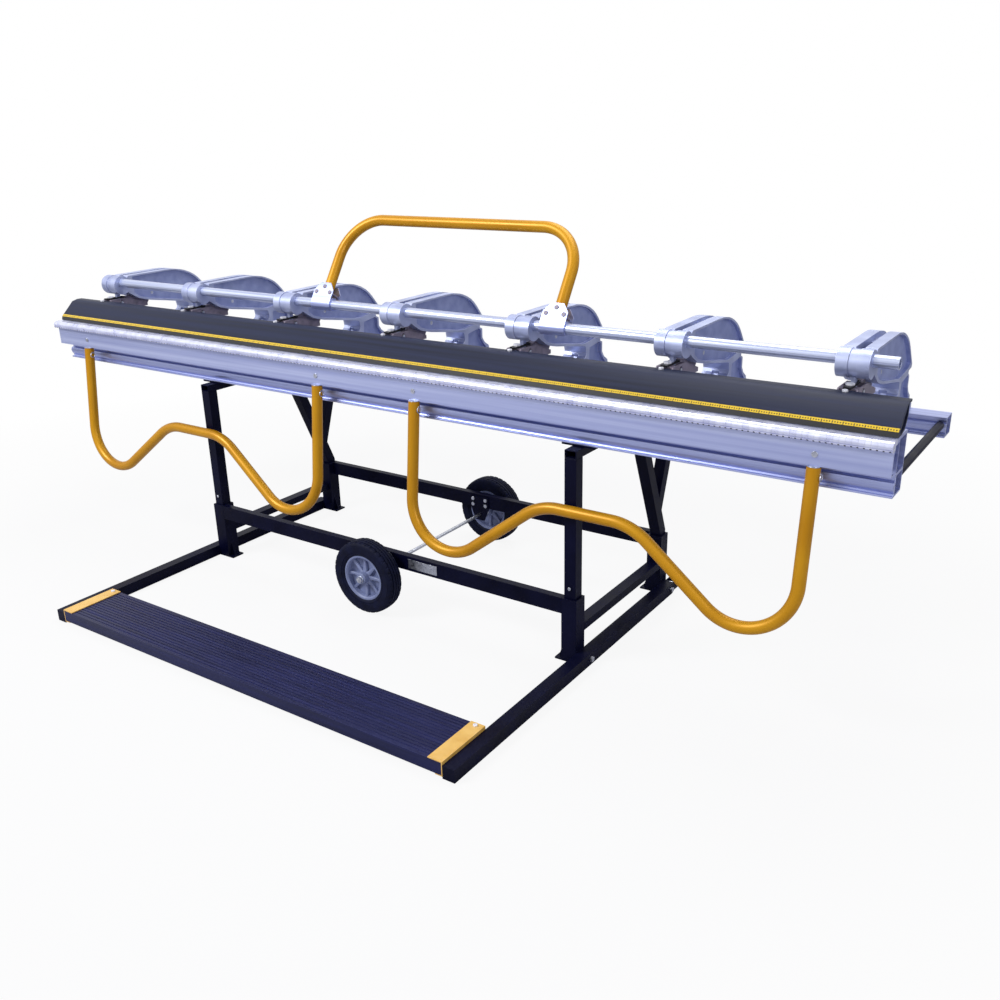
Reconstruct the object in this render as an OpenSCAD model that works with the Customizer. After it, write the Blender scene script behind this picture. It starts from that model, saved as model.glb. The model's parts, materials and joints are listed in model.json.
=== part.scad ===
// Portable siding brake on a telescoping stand with an operator's platform.
// X runs along the brake, the operator stands at -Y, and Z = 0 is the floor.
// Places along Y are measured from the face of the bending leaf, then moved by y0.

/* [Head] */
// Length of the bed, the jaw and the bending leaf
brake_len = 3200; // [3000:10:3400]
// Height of the bed above the floor at the lowest setting
bed_z = 820; // [805:1:850]
// Distance between neighbouring castings
station_pitch = 482.6; // [470:0.1:495]
// How far the throat reaches behind the jaw's nose
throat = 455; // [430:1:480]
// Height of the clamping arms above the rear rail
arm_h = 257; // [245:1:270]
// Length of a knuckle of the leaf's hinge
knuckle = 14.2; // [12:0.1:20]
// Outer diameter of the hinge barrel
barrel_d = 27; // [24:0.5:28]

/* [Locking] */
// Outer diameter of the locking tube
lock_tube_d = 32; // [30:0.5:34]
// Throw of the cams on the locking tube
cam_throw = 9.5; // [8:0.1:10]
// Diameter of the bosses round the locking tube
boss_d = 73; // [70:0.5:76]
// Width of a casting across both bosses
cast_w = 82; // [76:1:90]
// Width of a cam strap
strap_w = 21.4; // [18:0.1:24]
// Height of the locking handle from the tube's axis to its top bar
lock_reach = 313; // [280:1:340]
// Lean of the locking handle behind the vertical
lock_lean = 33; // [28:1:38]

/* [Handles] */
// Outer diameter of the yellow handle tubes
grip_d = 35; // [32:0.5:36]
// Wall of the yellow handle tubes
grip_wall = 2.5; // [1.5:0.1:4]
// Half of the distance between the legs of a bending handle
bend_half_w = 610; // [580:1:630]
// Forward lean of the bending handles
bend_lean = 6.2; // [6:0.1:8]

/* [Stand] */
// Width of the square posts and rails
post_w = 38; // [36:0.5:40]
// Width of the square sleeves
sleeve_w = 51; // [49:0.5:54]
// Height of the sleeves
sleeve_h = 207; // [200:1:225]
// Distance from the middle of the brake to the posts
post_x = 755; // [720:1:790]
// Wall of the square tubes
tube_wall = 3; // [2:0.1:5]
// Diameter of the wheels
wheel_d = 251; // [240:1:253]
// Width of the tyres
tyre_w = 62; // [50:1:70]
// Diameter of the axle
axle_d = 12; // [10:0.5:16]

/* [Platform] */
// Reach of the platform rails in front of the leaf
rail_reach = 665; // [620:1:720]
// Depth of the platform deck
deck_depth = 187; // [160:1:220]
// Thickness of the deck plank
deck_t = 37; // [30:1:42]
// Width of the top flange of the yellow deck clips
clip_flange = 45; // [35:1:60]

/* [Hidden] */

$fn = 48;
// Overrun of a cut, clearance of sliding pieces, of running fits and of nearby bodies
over = 1;
slide_gap = 0.3;
run_gap = 0.05;
body_gap = 0.3;

// Number of clamping castings, from the left end to the right
station_n = 7;

// Heights of the base rails
bed_h = 95;
rail_top_z = bed_z - bed_h;
rail_h = 57;
rail_bottom_z = rail_top_z - rail_h;
saddle_t = 6;
bar_h = 25;
bar_z = rail_bottom_z - saddle_t - bar_h;

// Places of the stand along Y
front_post_y = 15;
rear_post_y = 582;
front_sleeve_front = front_post_y - sleeve_w / 2;
rear_sleeve_back = rear_post_y + sleeve_w / 2;
rail_x = post_x + sleeve_w / 2 + post_w / 2;
axle_x = 20;
wheel_float = 2;
wheel_z = wheel_d / 2 + wheel_float;
front_wheel_y = -62;
rear_wheel_y = 655;
hub_over = 4;
nut_t = 8;
washer_t = 2;
hub_half = tyre_w / 2 + hub_over;
rear_reach = rear_wheel_y + hub_half + body_gap + washer_t + nut_t;
y0 = (rail_reach - rear_reach) / 2;

// Hinge of the leaf
barrel_r = barrel_d / 2;
hinge_drop = 0.5;
hinge_z = bed_z - barrel_r - hinge_drop;
hinge_y = -4;
hinge_rod_r = 4;
knuckle_gap = 0.3;
knuckle_pitch = 2 * (knuckle + knuckle_gap);
knuckle_n = floor((brake_len - knuckle) / knuckle_pitch);

function station_x(i) = (i - (station_n - 1) / 2) * station_pitch;
STATIONS = [for (i = [0:station_n - 1]) station_x(i)];

// Helpers. A profile is drawn in Y and Z and runs along X.
module place() translate([0, y0, 0]) children();
module along_x(len) rotate([90, 0, 90]) linear_extrude(len, center = true) children();
module both_sides() {
  children();
  mirror([1, 0, 0]) children();
}
module x_cyl(r, len) rotate([0, 90, 0]) cylinder(r = r, h = len, center = true);
module y_cyl(r, len) rotate([90, 0, 0]) cylinder(r = r, h = len, center = true);
module bar(x0, x1, ya, yb, z0, z1) translate([x0, ya, z0]) cube([x1 - x0, yb - ya, z1 - z0]);
// Square tube along Z, open at both ends
module upright_tube(w, wall, z0, z1) translate([0, 0, z0]) difference() {
  translate([-w / 2, -w / 2, 0]) cube([w, w, z1 - z0]);
  translate([-w / 2 + wall, -w / 2 + wall, -over]) cube([w - 2 * wall, w - 2 * wall, z1 - z0 + 2 * over]);
}
// Hexagon head on a round shank, the head above Z = 0
module hex_bolt(r, af, head, len) {
  cylinder(r = af / sqrt(3), h = head, $fn = 6);
  translate([0, 0, -len]) cylinder(r = r, h = len);
}

// Sleeves of the stand, each on a foot plate with a gusset
foot_t = 6;
foot_reach = 22.5;
gusset_h = 50;
gusset_t = 6;
lug_r = 20;
lug_z = 80;
lug_t = 8;
sleeve_bore = post_w + 2 * slide_gap;
module sleeve(y, has_lug) color("#101018") place() translate([post_x, y, 0]) {
  upright_tube(sleeve_w, (sleeve_w - sleeve_bore) / 2, foot_t, sleeve_h);
  bar(-sleeve_w / 2 - foot_reach, sleeve_w / 2, -sleeve_w / 2, sleeve_w / 2, 0, foot_t);
  translate([-sleeve_w / 2, -gusset_t / 2, foot_t]) rotate([90, 0, 180])
    translate([0, 0, -gusset_t]) linear_extrude(gusset_t)
      polygon([[0, 0], [foot_reach - gusset_t, 0], [0, gusset_h]]);
  if (has_lug)
    translate([0, sleeve_w / 2, lug_z]) rotate([0, 90, 0])
      difference() {
        cylinder(r = lug_r, h = lug_t, center = true);
        translate([-lug_r - over, -2 * lug_r, -lug_t])
          cube([2 * (lug_r + over), 2 * lug_r, 2 * lug_t]);
        translate([0, lug_r / 2, 0]) cylinder(r = lug_r / 4, h = lug_t + 2 * over, center = true);
      }
}
module front_sleeves() both_sides() sleeve(front_post_y, false);
module rear_sleeves() both_sides() sleeve(rear_post_y, true);

// Low tubes that join the sleeves of each end
side_tube_z = 92;
side_tube_h = 26;
module side_tubes() color("#101018") place() both_sides()
  translate([post_x + (sleeve_w - post_w) / 2, 0, side_tube_z]) difference() {
    bar(-post_w / 2, post_w / 2, front_post_y + sleeve_w / 2, rear_post_y - sleeve_w / 2, 0, side_tube_h);
    bar(-post_w / 2 + tube_wall, post_w / 2 - tube_wall, front_post_y, rear_post_y,
      tube_wall, side_tube_h - tube_wall);
  }

// Cross tubes between the left and right sleeves
cross_t = 25;
cross_h = 51;
cross_half = post_x - sleeve_w / 2;
module cross_tube(ya) color("#101018") place() difference() {
  bar(-cross_half, cross_half, ya, ya + cross_t, sleeve_h - cross_h, sleeve_h);
  bar(-cross_half - over, cross_half + over, ya + tube_wall, ya + cross_t - tube_wall,
    sleeve_h - cross_h + tube_wall, sleeve_h - tube_wall);
}
module cross_tubes() {
  cross_tube(front_sleeve_front);
  cross_tube(rear_sleeve_back - cross_t);
}

// Rails of the platform, bolted to the outside of the sleeves
clevis_end = 640;
clevis_len = 105;
clevis_t = 4;
rail_end = rear_post_y;
rail_bolt_r = 5;
rail_bolt_af = 16;
rail_bolt_head = 7;
rail_bolt_z = post_w / 2;
clevis_pin_out = 12;
clevis_pin_y = rear_sleeve_back + clevis_pin_out;
module rail_bolt_places() {
  for (y = [front_post_y, rear_post_y - sleeve_w / 4])
    translate([rail_x + post_w / 2, y, rail_bolt_z]) rotate([0, 90, 0]) children();
}
module platform_rails() color("#101018") place() both_sides() difference() {
  bar(rail_x - post_w / 2, rail_x + post_w / 2, -rail_reach, rail_end, 0, post_w);
  bar(rail_x - post_w / 2 + tube_wall, rail_x + post_w / 2 - tube_wall,
    -rail_reach + tube_wall, rail_end + over, tube_wall, post_w - tube_wall);
  rail_bolt_places() translate([0, 0, -post_w - over]) cylinder(r = rail_bolt_r + run_gap, h = post_w + 2 * over);
}

// U shaped clevises in the rear ends of the rails
clevis_half = post_w / 2 - tube_wall - slide_gap;
module clevis() difference() {
  bar(rail_x - clevis_half, rail_x + clevis_half, clevis_end - clevis_len, clevis_end,
    tube_wall + slide_gap, post_w - tube_wall - slide_gap);
  bar(rail_x - clevis_half + clevis_t, rail_x + clevis_half - clevis_t,
    clevis_end - clevis_len - over, clevis_end - clevis_t, 0, post_w);
  rail_bolt_places() translate([0, 0, -post_w - over]) cylinder(r = rail_bolt_r + run_gap, h = post_w + 2 * over);
  translate([rail_x, clevis_pin_y, rail_bolt_z]) x_cyl(rail_bolt_r + run_gap, post_w + 2 * over);
}
module rail_clevises() color("#16161e") place() both_sides() clevis();

module rail_bolts() color("#c9ccd6") place() both_sides() {
  rail_bolt_places() hex_bolt(rail_bolt_r, rail_bolt_af, rail_bolt_head, post_w);
  translate([rail_x + clevis_half, clevis_pin_y, rail_bolt_z]) rotate([0, 90, 0])
    hex_bolt(rail_bolt_r, rail_bolt_af, rail_bolt_head, 2 * clevis_half);
}

// Deck plank, ribbed along its length
clip_t = 3;
deck_x = post_x + sleeve_w / 2 - clip_t;
deck_z = 8;
deck_top = deck_z + deck_t;
deck_wall = 3;
rib_pitch = 12;
rib_w = 4;
rib_d = 1.2;
deck_webs = 4;
deck_groove_n = floor((deck_depth - rib_pitch) / rib_pitch);
module deck_profile() difference() {
  translate([-rail_reach, deck_z]) square([deck_depth, deck_t]);
  for (i = [0:deck_webs - 1])
    translate([-rail_reach + deck_wall + i * (deck_depth - deck_wall) / deck_webs, deck_z + deck_wall])
      square([(deck_depth - deck_wall) / deck_webs - deck_wall, deck_t - 2 * deck_wall]);
  for (i = [1:deck_groove_n])
    translate([-rail_reach + i * rib_pitch, deck_top - rib_d]) square([rib_w, rib_d + over]);
}
module platform_deck() color("#23233c") place() difference() {
  along_x(2 * deck_x) deck_profile();
  both_sides() deck_bolt_places() translate([0, 0, -deck_wall - over])
    cylinder(r = deck_bolt_r + run_gap, h = deck_wall + 2 * over);
}

// Yellow channels over the ends of the deck
clip_lip = 20;
deck_bolt_r = 3;
deck_bolt_af = 12;
deck_bolt_head = 4;
deck_bolt_in = 14;
module deck_bolt_places() translate([deck_x + clip_t - clip_flange / 2,
  -rail_reach + deck_depth - deck_bolt_in, deck_top]) children();
module deck_clips() color("#e9c24a") place() both_sides() difference() {
  bar(deck_x + clip_t - clip_flange, deck_x + clip_t, -rail_reach, -rail_reach + deck_depth,
    deck_z - clip_t, deck_top + clip_t);
  bar(deck_x - clip_flange, deck_x, -rail_reach - over, -rail_reach + deck_depth + over, deck_z, deck_top);
  bar(deck_x - clip_flange, deck_x - clip_lip, -rail_reach - over, -rail_reach + deck_depth + over,
    0, deck_top - deck_wall);
  deck_bolt_places() translate([0, 0, -over]) cylinder(r = deck_bolt_r + run_gap, h = clip_t + 2 * over);
}
module deck_bolts() color("white") place() both_sides() deck_bolt_places()
  translate([0, 0, clip_t]) hex_bolt(deck_bolt_r, deck_bolt_af, deck_bolt_head, clip_t + deck_wall);

// Brackets that carry the axle under the cross tubes
bracket_half = 40;
bracket_t = 4;
bracket_drop = 22;
bracket_rise = 44;
bracket_bolt_r = 4;
bracket_bolt_af = 13;
bracket_bolt_head = 5;
bracket_bolt_share = 0.7;
front_bracket_y = front_sleeve_front + cross_t;
rear_bracket_y = rear_sleeve_back - cross_t;
module bracket_holes() for (sx = [-1, 1], z = [bracket_rise / 4, bracket_rise * 3 / 4])
  translate([axle_x + sx * bracket_half * bracket_bolt_share, 0, sleeve_h - cross_h + z]) children();
module axle_bracket() difference() {
  union() {
    bar(axle_x - bracket_half, axle_x + bracket_half, 0, bracket_t, sleeve_h - cross_h,
      sleeve_h - cross_h + bracket_rise);
    translate([0, bracket_t, 0]) rotate([90, 0, 0]) linear_extrude(bracket_t)
      polygon([[axle_x - bracket_half, sleeve_h - cross_h], [axle_x + bracket_half, sleeve_h - cross_h],
        [axle_x + bracket_half / 2, wheel_z - bracket_drop], [axle_x - bracket_half / 2, wheel_z - bracket_drop]]);
  }
  translate([axle_x, 0, wheel_z]) y_cyl(axle_d / 2 + run_gap, 4 * bracket_t);
  bracket_holes() y_cyl(bracket_bolt_r + run_gap, 4 * bracket_t);
}
module axle_brackets() color("#16161e") place() {
  translate([0, front_bracket_y, 0]) axle_bracket();
  translate([0, rear_bracket_y - bracket_t, 0]) axle_bracket();
}
module axle_bracket_bolts() color("#c9ccd6") place() {
  translate([0, front_bracket_y + bracket_t, 0]) bracket_holes() rotate([-90, 0, 0])
    hex_bolt(bracket_bolt_r, bracket_bolt_af, bracket_bolt_head, bracket_t);
  translate([0, rear_bracket_y - bracket_t, 0]) bracket_holes() rotate([90, 0, 0])
    hex_bolt(bracket_bolt_r, bracket_bolt_af, bracket_bolt_head, bracket_t);
}

// Axle with a washer and a nut on each side of both hubs
nut_af = 20;
washer_r = 12;
axle_front = front_wheel_y - hub_half - body_gap - washer_t - nut_t;
module axle_rod() color("#c9ccd6") place()
  translate([axle_x, (axle_front + rear_reach) / 2, wheel_z]) y_cyl(axle_d / 2, rear_reach - axle_front);
module nut_stack() rotate([-90, 0, 0]) difference() {
  union() {
    cylinder(r = washer_r, h = washer_t);
    translate([0, 0, washer_t]) cylinder(r = nut_af / sqrt(3), h = nut_t, $fn = 6);
  }
  translate([0, 0, -over]) cylinder(r = axle_d / 2, h = washer_t + nut_t + 2 * over);
}
module axle_nuts() color("#c9ccd6") place() for (y = [front_wheel_y, rear_wheel_y])
  translate([axle_x, y, wheel_z]) {
    translate([0, hub_half + body_gap, 0]) nut_stack();
    mirror([0, 1, 0]) translate([0, hub_half + body_gap, 0]) nut_stack();
  }

// Bare plate on the front cross tube
plate_x = 211;
plate_w = 116;
plate_h = 32;
plate_t = 0.8;
module blank_plate() color("#c9ccd6") place()
  translate([plate_x - plate_w / 2, front_sleeve_front - plate_t, sleeve_h - cross_h / 2 - plate_h / 2])
    cube([plate_w, plate_t, plate_h]);

// Wheels: solid tyre on a spoked hub
rim_r = 78;
rim_t = 8;
rim_half = 25;
shoulder = 12;
tread_d = 3;
tread_w = 4;
tread_n = 3;
tread_pitch = 12;
shoulder_share = 0.67;
hub_r = 20;
spoke_n = 8;
spoke_w = 11;
spoke_half = 9;
web_t = 4;
module turned(y) color("#26262c") place() translate([axle_x, y, wheel_z]) rotate([90, 0, 0]) children();
module tyre(y) turned(y) rotate_extrude($fn = 96) difference() {
  polygon([[rim_r, -rim_half], [rim_r + shoulder, -tyre_w / 2], [wheel_d / 2 - shoulder, -tyre_w / 2],
    [wheel_d / 2 - tread_d, -tyre_w / 2 + shoulder * shoulder_share], [wheel_d / 2, -tyre_w / 2 + shoulder],
    [wheel_d / 2, tyre_w / 2 - shoulder], [wheel_d / 2 - tread_d, tyre_w / 2 - shoulder * shoulder_share],
    [wheel_d / 2 - shoulder, tyre_w / 2], [rim_r + shoulder, tyre_w / 2], [rim_r, rim_half]]);
  for (i = [0:tread_n - 1])
    translate([wheel_d / 2 - tread_d, (i - (tread_n - 1) / 2) * tread_pitch - tread_w / 2])
      square([tread_d + over, tread_w]);
}
module hub(y) turned(y) difference() {
  union() {
    rotate_extrude() translate([rim_r - rim_t, -rim_half]) square([rim_t, 2 * rim_half]);
    cylinder(r = rim_r - rim_t / 2, h = web_t, center = true);
    cylinder(r = hub_r, h = 2 * hub_half, center = true);
    for (i = [0:spoke_n - 1]) rotate([0, 0, i * 360 / spoke_n])
      translate([0, -spoke_w / 2, -spoke_half]) cube([rim_r - rim_t / 2, spoke_w, 2 * spoke_half]);
  }
  cylinder(r = axle_d / 2 + run_gap, h = 2 * (hub_half + over), center = true);
}
module front_tyre() tyre(front_wheel_y);
module rear_tyre() tyre(rear_wheel_y);
module front_hub() color("#8f9099") hub(front_wheel_y);
module rear_hub() color("#8f9099") hub(rear_wheel_y);

// Posts that telescope in the front sleeves
post_foot = 10;
module front_posts() color("#101018") place() both_sides()
  translate([post_x, front_post_y, 0]) upright_tube(post_w, tube_wall, post_foot, bar_z);

// Snap buttons above the sleeves, on the posts' outer faces
button_r = 5;
button_h = 4;
button_rise = 33;
module height_buttons() color("#c9ccd6") place() both_sides()
  translate([post_x, front_post_y - post_w / 2 - button_h / 2, sleeve_h + button_rise]) y_cyl(button_r, button_h);

// Rear legs: a stub in the sleeve, a long arm that leans forward and a brace that leans back
leg_bend_rise = 9;
leg_bend_z = sleeve_h + leg_bend_rise;
leg_top_y = 402;
brace_top_y = 662;
brace_foot_z = 300;
arm_ratio = (rear_post_y - leg_top_y) / (bar_z - leg_bend_z);
brace_foot_y = rear_post_y - (brace_foot_z - leg_bend_z) * arm_ratio;
brace_ratio = (brace_top_y - brace_foot_y) / (bar_z - brace_foot_z);
arm_cos = cos(atan(arm_ratio));
brace_cos = cos(atan(brace_ratio));
mitre = tan(atan(arm_ratio) / 2);
function arm_y(z, off) = leg_top_y + (bar_z - z) * arm_ratio + off / arm_cos;
function brace_y(z, off) = brace_top_y - (bar_z - z) * brace_ratio + off / brace_cos;
function fork_z(h, off) = bar_z
  - (brace_top_y - leg_top_y - h / arm_cos + off / brace_cos) / (arm_ratio + brace_ratio);
module leg_profile(h, more) {
  low = post_foot - more;
  top = bar_z + more;
  heel_z = fork_z(h, h);
  crotch_z = fork_z(h, -h);
  polygon([[rear_post_y - h, low], [rear_post_y + h, low], [rear_post_y + h, leg_bend_z + mitre * h],
    [arm_y(heel_z, h), heel_z], [brace_y(top, h), top], [brace_y(top, -h), top],
    [arm_y(crotch_z, h), crotch_z], [arm_y(top, h), top], [arm_y(top, -h), top],
    [rear_post_y - h, leg_bend_z - mitre * h]]);
}
module rear_legs() color("#101018") place() both_sides() translate([post_x, 0, 0]) difference() {
  along_x(post_w) leg_profile(post_w / 2, 0);
  along_x(post_w - 2 * tube_wall) leg_profile(post_w / 2 - tube_wall, over);
}

// Top bars of the end frames, from the front posts to the rear rail
bar_back = brace_top_y + post_w / 2;
module side_bars() color("#101018") place() both_sides() translate([post_x, 0, 0]) difference() {
  bar(-post_w / 2, post_w / 2, front_post_y - post_w / 2, bar_back, bar_z, bar_z + bar_h);
  bar(-post_w / 2 + tube_wall, post_w / 2 - tube_wall, front_post_y - post_w / 2 - over, bar_back + over,
    bar_z + tube_wall, bar_z + bar_h - tube_wall);
}

// Saddle plates between the bars and the base rails
saddle_half = 53;
module saddles() color("#101018") place() both_sides() translate([post_x, 0, 0]) {
  bar(-saddle_half, saddle_half, rail_front, rail_back, bar_z + bar_h, rail_bottom_z);
  bar(-saddle_half, saddle_half, rear_rail_front, rear_rail_back, bar_z + bar_h, rail_bottom_z);
}

// Base rails: hollow extrusions with a lip, a belly and a groove along the outer face
rail_front = 38;
rail_back = 112;
rear_rail_front = 598;
rear_rail_back = 668;
rail_wall = 4;
lip_h = 5;
groove_d = 8;
belly_shares = [[0.09, 0.09], [0.13, 0.16], [0.03, 0.34], [0, 0.52], [0.04, 0.67], [0.16, 0.75],
  [0.16, 0.84], [0.05, 0.87], [0.05, 1]];
module base_profile(w) difference() {
  polygon(concat([[w, 0], [0, 0], [0, lip_h]], [for (s = belly_shares) [s[0] * w, s[1] * rail_h]], [[w, rail_h]]));
  translate([groove_d + 2 * rail_wall, rail_wall])
    square([w - groove_d - 3 * rail_wall, rail_h - 2 * rail_wall]);
}
module front_base_rail() color("#b9bce0") place() along_x(brake_len)
  translate([rail_front, rail_bottom_z]) base_profile(rail_back - rail_front);
module rear_base_rail() color("#b9bce0") place() difference() {
  along_x(brake_len) translate([rear_rail_front, rail_bottom_z]) base_profile(rear_rail_back - rear_rail_front);
  foot_bolt_places() translate([0, 0, -rail_wall - over]) cylinder(r = cast_bolt_r + run_gap, h = rail_wall + 2 * over);
}

// Round rods that tie the base rails together at the ends
tie_r = 12;
tie_in = 15;
tie_share = 0.625;
module tie_rods() color("#20222e") place() both_sides()
  translate([brake_len / 2 - tie_in, (rail_back + rear_rail_front) / 2, rail_bottom_z + rail_h * tie_share])
    y_cyl(tie_r, rear_rail_front - rail_back);

// Bed: hollow extrusion over the front base rail
bed_front = 24;
bed_web_y = 42;
bed_back = 112;
bed_wall = 4;
bed_top_t = 8;
bed_lip_t = 13;
module bed_rail() color("#b9bce0") place() difference() {
  along_x(brake_len) difference() {
    polygon([[bed_front, bed_z], [bed_back, bed_z], [bed_back, rail_top_z], [bed_web_y, rail_top_z],
      [bed_web_y, bed_z - bed_lip_t], [bed_front, bed_z - bed_lip_t]]);
    translate([bed_web_y + bed_wall, rail_top_z + bed_wall])
      square([bed_back - bed_web_y - 2 * bed_wall, bed_z - rail_top_z - bed_wall - bed_top_t]);
  }
  front_bolt_places() translate([0, 0, -bed_wall - over])
    cylinder(r = cast_bolt_r + run_gap, h = bed_wall + 2 * over);
}

// Knuckles of the bed and of the leaf take turns along the hinge
module knuckle_places(first) for (i = [first:2:2 * knuckle_n - 1])
  translate([(i - (2 * knuckle_n - 1) / 2) * knuckle_pitch / 2, hinge_y, hinge_z]) children();
module bed_hinge() color("#c6c9ea") place() difference() {
  union() {
    along_x(brake_len) translate([hinge_y, hinge_z]) circle(r = barrel_r);
    bar(-brake_len / 2, brake_len / 2, hinge_y, bed_front, hinge_z + knuckle_gap, hinge_z + barrel_r);
  }
  knuckle_places(1) x_cyl(barrel_r + body_gap, knuckle + 2 * knuckle_gap);
  translate([0, hinge_y, hinge_z]) x_cyl(hinge_rod_r, brake_len + 2 * over);
}
module hinge_rod() color("#c9ccd6") place() translate([0, hinge_y, hinge_z]) x_cyl(hinge_rod_r, brake_len);

// Places of the bed, the leaf and the clamping pieces along Y
nose_y = 20;
boss_y = 183;
lock_rise = 136;
lock_z = bed_z + lock_rise;
boss_z = lock_z - cam_throw;
boss_r = boss_d / 2;
cast_reach = 437;
pivot_y = 325;
pivot_rise = 78;
pivot_z = bed_z + pivot_rise;
pin_r = 6;

// Castings: two cheeks with pockets, a fork at the front and a pedestal on the rear rail
fork_half = strap_w / 2 + slide_gap;
pocket_d = 20;
web_d = 12;
groove_depth = 15;
lower_arm_t = 70;
lower_arm_low = 10;
throat_back = nose_y + throat;
throat_shares = [1.5, 1.9];
pocket_toe = 96;
foot_bolt_share = 1.085;
back_shares = [[0.073, 0.992], [0.30, 0.996], [0.487, 1], [0.56, 0.997], [0.613, 0.986], [0.66, 0.972],
  [0.705, 0.95], [0.76, 0.912], [0.81, 0.865], [0.85, 0.812], [0.888, 0.745], [0.954, 0.608], [0.99, 0.54],
  [0.985, 0.50], [0.92, 0.485], [0.918, 0.45], [0.95, 0.425], [0.95, 0.30], [0.98, 0.23], [1.035, 0.17],
  [1.05, 0.0575], [1.115, 0.0575], [1.115, 0]];
lip_shares = [[0.70, 0.44], [0.66, 0.455], [0.467, 0.515], [0.281, 0.57], [0.162, 0.628], [0.09, 0.70],
  [0.04, 0.76]];
function arm_pt(s) = [boss_y + s[0] * cast_reach, rail_top_z + s[1] * arm_h];
module cast_outline() {
  polygon(concat([for (s = back_shares) arm_pt(s)],
    [[rear_rail_front, rail_top_z], [rear_rail_front - lower_arm_low, rail_top_z + lower_arm_low],
     [bed_back + lower_arm_low, rail_top_z + lower_arm_low], [bed_back, rail_top_z + 2 * lower_arm_low],
     [bed_back, bed_z - bed_lip_t], [throat_back, rail_top_z + lower_arm_t],
     [throat_back + throat_shares[0] * lower_arm_low, rail_top_z + lower_arm_t + lower_arm_low],
     [throat_back + throat_shares[1] * lower_arm_low, rail_top_z + lower_arm_t + 2 * lower_arm_low]],
    [for (s = lip_shares) arm_pt(s)], [[boss_y, boss_z]]));
  translate([boss_y, boss_z]) circle(r = boss_r);
}
arm_pocket_shares = [[0.115, 0.968], [0.487, 0.979], [0.56, 0.976], [0.61, 0.966], [0.655, 0.951], [0.70, 0.928],
  [0.752, 0.89], [0.80, 0.845], [0.84, 0.79], [0.875, 0.73], [0.938, 0.60], [0.955, 0.555], [0.91, 0.522],
  [0.72, 0.485], [0.667, 0.484], [0.472, 0.543], [0.286, 0.597], [0.172, 0.655], [0.115, 0.725]];
foot_pocket_shares = [[0.755, 0.41], [0.903, 0.44], [0.93, 0.41], [0.93, 0.295], [0.965, 0.215], [1.0, 0.155],
  [1.0, 0.08], [0.75, 0.08], [0.75, 0.24]];
pocket_margin = 12;
module cheek() difference() {
  rotate([90, 0, 90]) difference() {
    linear_extrude(cast_w / 2 - fork_half) cast_outline();
    translate([0, 0, cast_w / 2 - fork_half - web_d]) linear_extrude(web_d + over) {
      polygon([for (s = arm_pocket_shares) arm_pt(s)]);
      polygon([for (s = foot_pocket_shares) arm_pt(s)]);
    }
    translate([0, 0, cast_w / 2 - fork_half - pocket_d]) linear_extrude(pocket_d + over)
      polygon([[bed_back + pocket_margin, rail_top_z + 2 * lower_arm_low + pocket_margin],
        [rear_rail_front - pocket_toe, rail_top_z + lower_arm_low + pocket_margin],
        [throat_back, rail_top_z + lower_arm_t - pocket_margin],
        [bed_back + pocket_margin, bed_z - bed_lip_t - pocket_margin]]);
  }
  translate([0, boss_y, lock_z]) x_cyl(lock_tube_d / 2 + run_gap, 2 * cast_w);
  translate([0, pivot_y, pivot_z]) x_cyl(pin_r, 2 * cast_w);
}
slot_back = 352;
module core() rotate([90, 0, 90]) translate([0, 0, -fork_half]) linear_extrude(2 * fork_half) difference() {
  intersection() {
    cast_outline();
    translate([0, -groove_depth]) cast_outline();
  }
  translate([0, bed_z]) square([slot_back, arm_h]);
}
cast_bolt_r = 5;
cast_bolt_af = 16;
cast_bolt_head = 6;
foot_bolt_x = 26;
front_bolt_x = 31;
front_bolt_rise = 51;
foot_top_share = 0.0575;
module foot_bolt_places() for (x = STATIONS, s = [-1, 1])
  translate([x + s * foot_bolt_x, boss_y + foot_bolt_share * cast_reach, rail_top_z]) children();
module front_bolt_places() for (x = STATIONS, s = [-1, 1])
  translate([x + s * front_bolt_x, bed_back, rail_top_z + front_bolt_rise]) rotate([-90, 0, 0]) children();
module casting(i) color("#aab0da") place() difference() {
  translate([STATIONS[i - 1], 0, 0]) {
    both_sides() translate([fork_half, 0, 0]) cheek();
    core();
  }
  foot_bolt_places() cylinder(r = cast_bolt_r + run_gap, h = arm_h * foot_top_share + over);
  front_bolt_places() translate([0, 0, -over]) cylinder(r = cast_bolt_r + run_gap, h = pocket_margin + 2 * over);
}
module casting_1() casting(1);
module casting_2() casting(2);
module casting_3() casting(3);
module casting_4() casting(4);
module casting_5() casting(5);
module casting_6() casting(6);
module casting_7() casting(7);
module casting_bolts() color("white") place() {
  foot_bolt_places() translate([0, 0, arm_h * foot_top_share])
    hex_bolt(cast_bolt_r, cast_bolt_af, cast_bolt_head, arm_h * foot_top_share + rail_wall);
  front_bolt_places() translate([0, 0, pocket_margin])
    hex_bolt(cast_bolt_r, cast_bolt_af, cast_bolt_head, pocket_margin + bed_wall);
}
module pivot_pins() color("#c9ccd6") place() for (x = STATIONS)
  translate([x, pivot_y, pivot_z]) x_cyl(pin_r, 2 * (cast_w / 2 - web_d));

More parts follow.
